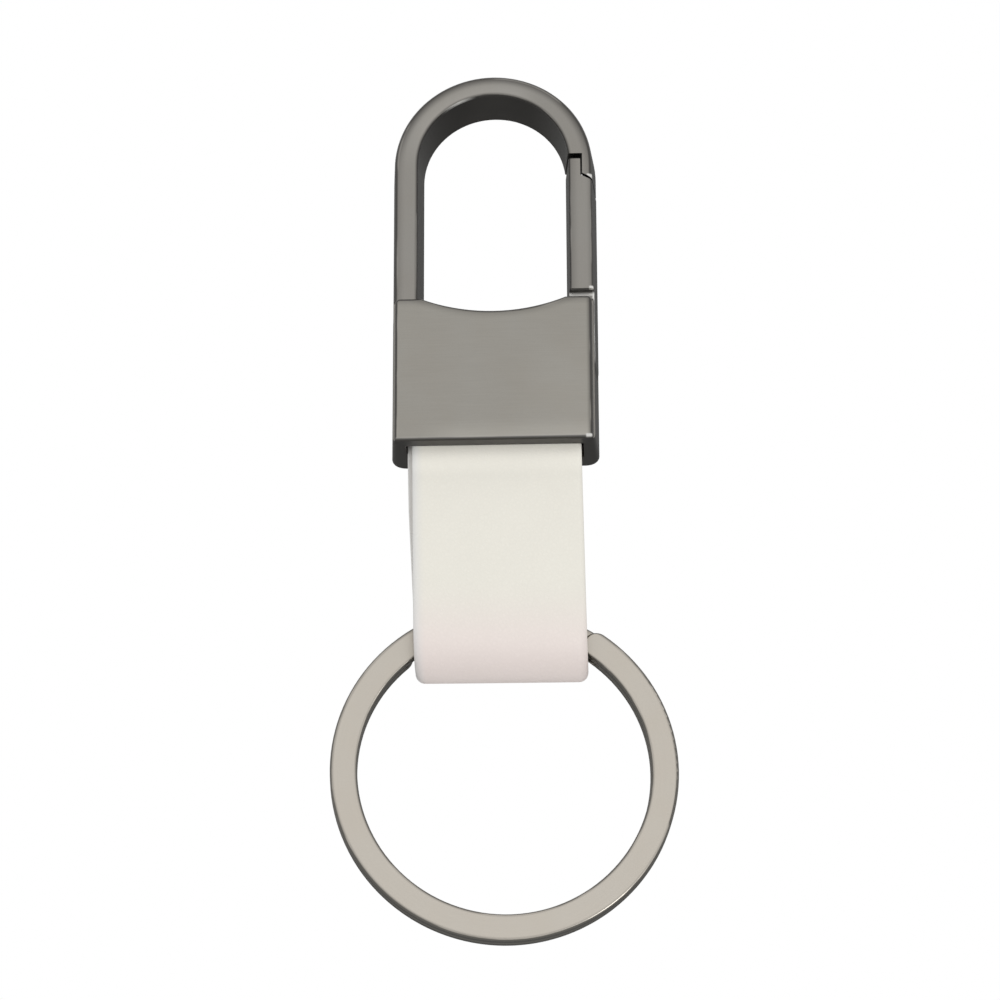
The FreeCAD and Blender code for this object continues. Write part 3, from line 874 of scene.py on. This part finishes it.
def dress(node: bpy.types.Object, material: bpy.types.Material) -> None:
    """Give a piece one material."""
    node.data.materials.clear()
    node.data.materials.append(material)


GUNMETAL: Colour = (0.275, 0.263, 0.242)
# Painted shade: the darker copy of the gunmetal on faces that don't face the front and on the rims
GUNMETAL_SIDE_SHADE: Colour = (0.064, 0.061, 0.057)

# Painted highlights on the lip's tip beside the gate, and on the upper left of the arch's inner edge
CASTING_HIGHLIGHTS = (
    PaintedHighlight((0.0099, -0.003, -0.0096), (0.0105, -0.0023, -0.0090), level=0.8),
    ArchHighlight((-0.0046, -0.0028, -0.0060), (-0.0026, -0.00252, 0.0010), level=0.72, soft=0.00006),
)

# Painted highlights on the tail's top under the step, the tail's outer edge and the corner of the leg's foot
GATE_HIGHLIGHTS = (
    PaintedHighlight((0.0076, -0.00215, -0.02265), (0.0106, -0.0017, -0.0223), level=0.75),
    PaintedHighlight((0.0103, -0.00215, -0.0311), (0.0106, -0.0016, -0.0222), level=0.9),
    PaintedHighlight((0.0100, -0.003, -0.0223), (0.0106, -0.0024, -0.0219), level=0.8),
)

# Painted highlights on the plate's lower edge and its right end
PLATE_HIGHLIGHTS = (
    PaintedHighlight((-0.0101, -0.0039, -0.03905), (0.0101, -0.0034, -0.03885), level=0.15),
    PaintedHighlight((0.0095, -0.0039, -0.0391), (0.0101, -0.0034, -0.0388), level=0.9),
)


@dataclass
class Clip:
    """The cast bail and block with its gate, face plate, pins and spring."""

    nodes: Dict[str, bpy.types.Object]
    # Each finish's second colour is painted shade on faces that don't face the front and on the rims
    casting: SatinMetal = SatinMetal(
        "satin_gunmetal", GUNMETAL, GUNMETAL_SIDE_SHADE, roughness=0.36, grain=Grain.UPRIGHT, line_level=0.05,
        outline=BailOutline(), highlights=CASTING_HIGHLIGHTS)
    lever: SatinMetal = SatinMetal(
        "gate_gunmetal", GUNMETAL, GUNMETAL_SIDE_SHADE, roughness=0.36, grain=Grain.UPRIGHT, line_level=0.05,
        outline=BailOutline(outer_rim=0.0003, outer_shade=0.0007, inner_rim=0.0003, inner_shade=0.0011),
        highlights=GATE_HIGHLIGHTS)
    plate: SatinMetal = SatinMetal(
        "brushed_gunmetal", (0.309, 0.295, 0.266), GUNMETAL_SIDE_SHADE, roughness=0.34, grain=Grain.ACROSS,
        outline=PlateOutline(), highlights=PLATE_HIGHLIGHTS)
    pin: SatinMetal = SatinMetal(
        "pin_steel", (0.3, 0.29, 0.28), (0.2, 0.19, 0.18), roughness=0.3, grain=Grain.ACROSS, line_level=0.1)
    wire: SatinMetal = SatinMetal(
        "spring_steel", (0.45, 0.44, 0.42), (0.4, 0.39, 0.37), roughness=0.25, grain=Grain.ACROSS)
    spring_seat: Place = (0.0022634, 0.0003, -0.02677)
    spring_keep: float = 0.6

    def add_spring(self) -> None:
        """Stand a copy of the spring in for its solid."""
        node = self.nodes["gate_spring"]
        coil = bpy.data.objects.new("gate_coil", node.data.copy())
        coil.matrix_world = node.matrix_world
        bpy.context.scene.collection.objects.link(coil)
        dress(coil, self.wire.make())
        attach(coil, "clip")
        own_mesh(coil)
        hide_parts("gate_spring")
        log.info("made %s", coil.name)

    def build(self) -> None:
        """Dress the casting, the gate, the plate and the pins, and add the spring."""
        pin = self.pin.make()
        finishes = {
            "clip_frame": self.casting.make(), "gate": self.lever.make(), "face_plate": self.plate.make(),
            "gate_hinge_pin": pin, "strap_pins": pin,
        }
        for name, material in finishes.items():
            dress(self.nodes[name], material)
            log.info("dressed %s", name)
        self.add_spring()


@dataclass
class KeyRing:
    """The flat split ring of two coils."""

    node: bpy.types.Object
    centre: Place = (0.000808, 0.0, -0.07366)
    axis: Place = (-0.069746, 0.997564, -0.001217)
    colour: Colour = (0.528, 0.49, 0.434)
    # Painted shade: the darker colour of the ring's sides and rims
    side_shade_colour: Colour = (0.13, 0.123, 0.111)
    roughness: float = 0.34

    def build(self) -> None:
        """Dress the ring with lines that run round it."""
        finish = SatinMetal(
            "ring_steel", self.colour, self.side_shade_colour, self.roughness, Grain.ROUND, face_axis=self.axis,
            centre=self.centre, line_level=0.03, mottle_level=0.03,
            outline=RingOutline(self.centre, self.axis))
        dress(self.node, finish.make())
        log.info("dressed %s", self.node.name)


class Ply(Enum):
    """The two leathers that each leaf of the strap is made of."""

    FACE = "strap_leather"
    LINING = "strap_inner_leather"


@dataclass
class Strap:
    """The folded leather strap, made of a face ply and a lining ply from tab to tab."""

    half_width: float = 0.00875
    face_ply: float = 0.0011
    lining_ply: float = 0.0007
    glue_line: float = 0.00002
    leaf_gap: float = 0.0001
    shift: float = 0.00022
    skew: float = 0.00055
    skew_share: float = 0.6
    axis_z: float = -0.04
    lean: float = math.radians(1.0)
    lean_room: float = 0.004
    turn: float = math.radians(4.0)
    reach: float = 0.02025
    fold_radius: float = 0.00383
    tab_top: float = -0.03285
    bend_room: float = 0.0014
    blend_room: float = 0.0012
    bow: float = 0.00012
    outer_round: float = 0.0005
    fold_round: float = 0.00095
    fold_round_shares: Span = (0.5, 0.7)
    inner_round: float = 0.00015
    glued_round: float = 0.00008
    tab_steps: int = 10
    bend_steps: int = 12
    leaf_steps: int = 48
    fold_steps: int = 32
    corner_steps: int = 6
    flat_steps: int = 16
    colour: Colour = (0.785, 0.762, 0.69)
    # Painted shade: the fold colours darken the fold and the edge colour darkens the left edge
    fold_shade_colour: Colour = (0.785, 0.702, 0.67)
    edge_shade_colour: Colour = (0.68, 0.68, 0.68)
    lining_colour: Colour = (0.74, 0.70, 0.63)
    lining_fold_shade_colour: Colour = (0.73, 0.69, 0.63)

    @property
    def leaf(self) -> float:
        """The thickness of one leaf."""
        return self.face_ply + self.lining_ply

    @property
    def spread(self) -> float:
        """How far each leaf turns out from the middle on its way to the fold, in radians."""
        mouth = self.leaf + self.leaf_gap / 2
        return math.asin((self.fold_radius - mouth) / self.reach)

    def layer(self, ply: Ply) -> Tuple[float, float]:
        """The depth of a ply's middle below the strap's outer face, and the ply's thickness.

        Args:
            ply: Which ply.

        Returns:
            The depth and the thickness.
        """
        if ply is Ply.FACE:
            thickness = self.face_ply - self.glue_line
            return thickness / 2, thickness
        return self.leaf - self.lining_ply / 2, self.lining_ply

    def front_run(self, depth: float) -> List[Point]:
        """The ply's middle line from the front tab's top to the bottom of the fold.

        Args:
            depth: How far the line lies below the strap's outer face.

        Returns:
            Points as depth to the back and distance down from the mouth's axis.
        """
        mouth = self.leaf + self.leaf_gap / 2 - depth
        fold = self.fold_radius - depth
        turn = self.spread
        top = (-mouth, self.axis_z - self.tab_top)
        leave = (-mouth, -self.bend_room)
        corner = (-mouth, -mouth * math.tan(turn / 2))
        meet = (corner[0] - math.sin(turn) * self.bend_room, corner[1] + math.cos(turn) * self.bend_room)
        touch = (-fold * math.cos(turn), self.reach - fold * math.sin(turn))
        line = [part_way(top, leave, step / self.tab_steps) for step in range(self.tab_steps)]
        for step in range(self.bend_steps):
            t = step / self.bend_steps
            line.append(part_way(part_way(leave, corner, t), part_way(corner, meet, t), t))
        for step in range(self.leaf_steps):
            t = step / self.leaf_steps
            y, down = part_way(meet, touch, t)
            swell = self.bow * math.sin(math.pi * t) ** 2
            line.append((y - swell * math.cos(turn), down - swell * math.sin(turn)))
        for step in range(self.fold_steps + 1):
            angle = (math.pi / 2 + turn) * (1 - step / self.fold_steps)
            line.append((-fold * math.sin(angle), self.reach + fold * math.cos(angle)))
        return line

    def run(self, depth: float) -> List[Point]:
        """The ply's whole middle line, down the front and up the back."""
        front = self.front_run(depth)
        return front + [(-y, down) for y, down in reversed(front[:-1])]

    def arc(self, x: float, height: float, radius: float, start: float) -> List[Point]:
        """A quarter round of the ply's outline, clockwise.

        Args:
            x: Its centre's distance across.
            height: Its centre's height above the middle line.
            radius: Its radius.
            start: The angle at which it starts, in degrees.

        Returns:
            Its points.
        """
        points: List[Point] = []
        for step in range(self.corner_steps + 1):
            angle = math.radians(start - 90.0 * step / self.corner_steps)
            points.append((x + radius * math.cos(angle), height + radius * math.sin(angle)))
        return points

    def flat(self, end: float, height: float) -> List[Point]:
        """The points between the ends of a flat face, which runs across from the other end to this one."""
        return [(end * (2 * step / self.flat_steps - 1), height) for step in range(1, self.flat_steps)]

    def section(self, thickness: float, outer: float, inner: float) -> List[Point]:
        """The ply's outline across its width.

        Args:
            thickness: The ply's thickness.
            outer: The rounding of the corners on the outer face.
            inner: The rounding of the corners on the inner face.

        Returns:
            Points as distance across and height above the middle line.
        """
        half = thickness / 2
        outer_x = self.half_width - outer
        inner_x = self.half_width - inner
        right = self.arc(outer_x, half - outer, outer, 90.0) + self.arc(inner_x, inner - half, inner, 0.0)
        left = self.arc(-inner_x, inner - half, inner, -90.0)
        left = left + self.arc(-outer_x, half - outer, outer, -180.0)
        return right + self.flat(-inner_x, -half) + left + self.flat(outer_x, half)

    def rounding(self, ply: Ply, along: float) -> Span:
        """How round a ply's corners are. The face ply is rounder in its fold.

        Args:
            ply: Which ply.
            along: The distance along the strap from the middle of the fold.

        Returns:
            The rounding on the outer face and on the inner face.
        """
        if ply is Ply.LINING:
            return self.glued_round, self.inner_round
        fold = self.fold_radius * (math.pi / 2 + self.spread)
        start, fade = (share * fold for share in self.fold_round_shares)
        bent = 1.0 - clamp((abs(along) - start) / fade)
        bent = bent * bent * (3 - 2 * bent)
        return self.outer_round + (self.fold_round - self.outer_round) * bent, self.glued_round

    def wrap(self, ply: Ply) -> Tuple[List[Place], List[Place], int]:
        """The ply's surface points.

        Args:
            ply: Which ply.

        Returns:
            The points, their places on the strap as across, along and above, and how many make a section.
        """
        depth, thickness = self.layer(ply)
        line = self.run(depth)
        lengths = [0.0]
        for (y0, d0), (y1, d1) in zip(line, line[1:]):
            lengths.append(lengths[-1] + math.hypot(y1 - y0, d1 - d0))
        middle = lengths[-1] / 2
        points: List[Place] = []
        places: List[Place] = []
        for index, (y, down) in enumerate(line):
            before = line[max(index - 1, 0)]
            after = line[min(index + 1, len(line) - 1)]
            run = Vector((after[0] - before[0], after[1] - before[1])).normalized()
            out = Vector((-run.y, run.x))
            along = lengths[index] - middle
            askew = -self.skew * clamp(along / (middle * self.skew_share))
            for x, height in self.section(thickness, *self.rounding(ply, along)):
                points.append(self.hang(x + askew, y + out.x * height, down + out.y * height))
                places.append((x, along, height))
        return points, places, len(points) // len(line)

    def hang(self, x: float, y: float, down: float) -> Place:
        """Where a point of the straight strap comes to lie when it hangs, twisted and leaning.

        Args:
            x: The point's place across the strap.
            y: Its place to the back.
            down: Its distance below the mouth's axis.

        Returns:
            The point in the frame.
        """
        free = clamp((down + self.bend_room) / (3 * self.bend_room))
        sine = x * math.tan(self.turn) / self.reach * free
        cosine = math.sqrt(1.0 - sine * sine)
        y, down = y * cosine + down * sine, down * cosine - y * sine
        lean = self.lean * clamp((down + self.lean_room) / self.lean_room)
        return (
            self.shift + x * math.cos(lean) + down * math.sin(lean), y,
            self.axis_z + x * math.sin(lean) - down * math.cos(lean),
        )

    def mesh(self, ply: Ply) -> bpy.types.Object:
        """Make a ply's mesh.

        Args:
            ply: Which ply.

        Returns:
            The piece.
        """
        points, places, count = self.wrap(ply)
        last = len(points) - count
        faces: List[Tuple[int, ...]] = []
        for row in range(0, last, count):
            for step in range(count):
                following = (step + 1) % count
                faces.append((row + step, row + following, row + count + following, row + count + step))
        faces.append(tuple(reversed(range(count))))
        faces.append(tuple(range(last, len(points))))
        data = bpy.data.meshes.new(ply.value)
        data.from_pydata(points, [], faces)
        attribute = data.attributes.new("strap_place", "FLOAT_VECTOR", "POINT")
        attribute.data.foreach_set("vector", [part for place in places for part in place])
        shape = bmesh.new()
        shape.from_mesh(data)
        bmesh.ops.recalc_face_normals(shape, faces=shape.faces)
        shape.to_mesh(data)
        shape.free()
        data.shade_smooth()
        piece = bpy.data.objects.new(ply.value, data)
        bpy.context.scene.collection.objects.link(piece)
        return piece

    def build(self) -> None:
        """Make both plies, dress them and hide the strap's solids that they stand in for."""
        fold_start = self.fold_radius * math.pi / 2
        white = SmoothLeather(
            "white_leather", self.colour, self.fold_shade_colour, self.edge_shade_colour, self.half_width, fold_start)
        lining = SmoothLeather(
            "lining_leather", self.lining_colour, self.lining_fold_shade_colour, self.edge_shade_colour, self.half_width,
            fold_start, roughness=0.55, pebble_size=0.0003)
        stand_ins = {
            Ply.FACE: (white, ("strap_face", "strap_tab_front", "strap_tab_back")),
            Ply.LINING: (lining, ("strap_lining",)),
        }
        for ply, (finish, nodes) in stand_ins.items():
            piece = self.mesh(ply)
            dress(piece, finish.make())
            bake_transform(piece)
            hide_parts(*nodes)
            log.info("made %s", piece.name)


@dataclass(frozen=True)
class Lamp:
    """A soft rectangular lamp that faces the clip."""

    name: str
    place: Place
    size: Span
    power: float
    reflected: bool

    def add(self, target: Place) -> None:
        """Hang the lamp.

        Args:
            target: The point that it faces.
        """
        data = bpy.data.lights.new(self.name, "AREA")
        data.shape = "RECTANGLE"
        data.size, data.size_y = self.size
        data.energy = self.power
        lamp = bpy.data.objects.new(self.name, data)
        lamp.location = self.place
        lamp.rotation_euler = (Vector(target) - Vector(self.place)).to_track_quat("-Z", "Y").to_euler()
        lamp.visible_glossy = self.reflected
        bpy.context.scene.collection.objects.link(lamp)


@dataclass
class Studio:
    """Camera, floor, soft lights and the dark card behind the clip."""

    azimuth: float = math.radians(2.0715)
    elevation: float = math.radians(-20.0346)
    roll: float = math.radians(-0.2286)
    distance: float = 0.37532
    focal_pixels: float = 3639.58
    image_width: float = 1000.0
    film_width: float = 36.0
    nearest: float = 0.01
    farthest: float = 30.0
    target: Place = (0.000482, 0.0, -0.044515)
    floor_z: float = -0.55
    floor_half: float = 6.0
    card_half: float = 0.6
    card_y: float = 0.6
    card_heights: Span = (-0.54, 0.4)
    fill: float = 0.8
    lamps: Tuple[Lamp, ...] = (
        Lamp("key_lamp", (-0.35, -0.95, 0.75), (1.2, 1.0), power=3.0, reflected=False),
        Lamp("low_lamp", (0.45, -0.75, -0.28), (0.25, 0.25), power=1.2, reflected=True),
    )

    def set_camera(self) -> None:
        """Place the camera where the photograph was taken from."""
        flat = math.cos(self.elevation)
        back = Vector((
            math.sin(self.azimuth) * flat, -math.cos(self.azimuth) * flat, math.sin(self.elevation)))
        level = Vector((math.cos(self.azimuth), math.sin(self.azimuth), 0.0))
        right = level * math.cos(self.roll) + back.cross(level) * math.sin(self.roll)
        up = back.cross(right)
        data = bpy.data.cameras.new("camera")
        data.sensor_width = self.film_width
        data.lens = self.focal_pixels * self.film_width / self.image_width
        data.clip_start = self.nearest
        data.clip_end = self.farthest
        camera = bpy.data.objects.new("camera", data)
        turn = Matrix((right, up, back)).transposed().to_4x4()
        camera.matrix_world = Matrix.Translation(Vector(self.target) + back * self.distance) @ turn
        bpy.context.scene.collection.objects.link(camera)
        bpy.context.scene.camera = camera

    def set_world(self) -> None:
        """A white surround for the camera and for reflections, and a softer one for shading."""
        world = bpy.data.worlds.new("studio")
        bpy.context.scene.world = world
        world.use_nodes = True
        graph = Graph(world.node_tree)
        rays = graph.node("ShaderNodeLightPath", {}, {})
        names = ("Is Camera Ray", "Is Glossy Ray", "Is Transmission Ray")
        camera, glossy, through = (Value(graph, graph.find(rays.outputs, name)) for name in names)
        white = camera.at_least(glossy).at_least(through)
        sockets = {"Color": (1.0, 1.0, 1.0), "Strength": self.fill + (1.0 - self.fill) * white}
        glow = graph.take("ShaderNodeBackground", {}, sockets, "Background")
        graph.node("ShaderNodeOutputWorld", {}, {"Surface": glow})

    def add_sheet(
        self, name: str, corners: Sequence[Place], material: bpy.types.Material
    ) -> bpy.types.Object:
        """A flat sheet of the studio.

        Args:
            name: The sheet's name.
            corners: Its four corners in order.
            material: Its finish.

        Returns:
            The sheet.
        """
        data = bpy.data.meshes.new(name)
        data.from_pydata(corners, [], [tuple(range(len(corners)))])
        sheet = bpy.data.objects.new(name, data)
        bpy.context.scene.collection.objects.link(sheet)
        dress(sheet, material)
        return sheet

    def add_floor(self) -> None:
        """Lay the pale floor."""
        half = self.floor_half
        ground = ((-half, -half), (half, -half), (half, half), (-half, half))
        self.add_sheet("floor", [(x, y, self.floor_z) for x, y in ground], StudioPaper().make())

    def add_card(self) -> None:
        """Stand the dark card behind the clip, where only reflections see it."""
        half = self.card_half
        low, high = self.card_heights
        upright = ((-half, low), (half, low), (half, high), (-half, high))
        card = self.add_sheet("black_card", [(x, self.card_y, z) for x, z in upright], DarkCard().make())
        card.visible_camera = False
        card.visible_diffuse = False
        card.visible_shadow = False
        card.visible_transmission = False

    def build(self) -> None:
        """Set up the whole studio."""
        self.set_camera()
        self.set_world()
        self.add_floor()
        self.add_card()
        for lamp in self.lamps:
            lamp.add(self.target)
        bpy.context.scene.view_settings.view_transform = "Standard"
        log.info("set up the studio")


def main() -> None:
    """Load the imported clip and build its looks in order."""
    logging.basicConfig(level=logging.INFO, format="%(name)s: %(message)s")
    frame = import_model()
    nodes = frame["nodes"]
    Studio().build()
    Clip(nodes).build()
    KeyRing(nodes["split_ring"]).build()
    Strap().build()


if __name__ == "__main__":
    main()
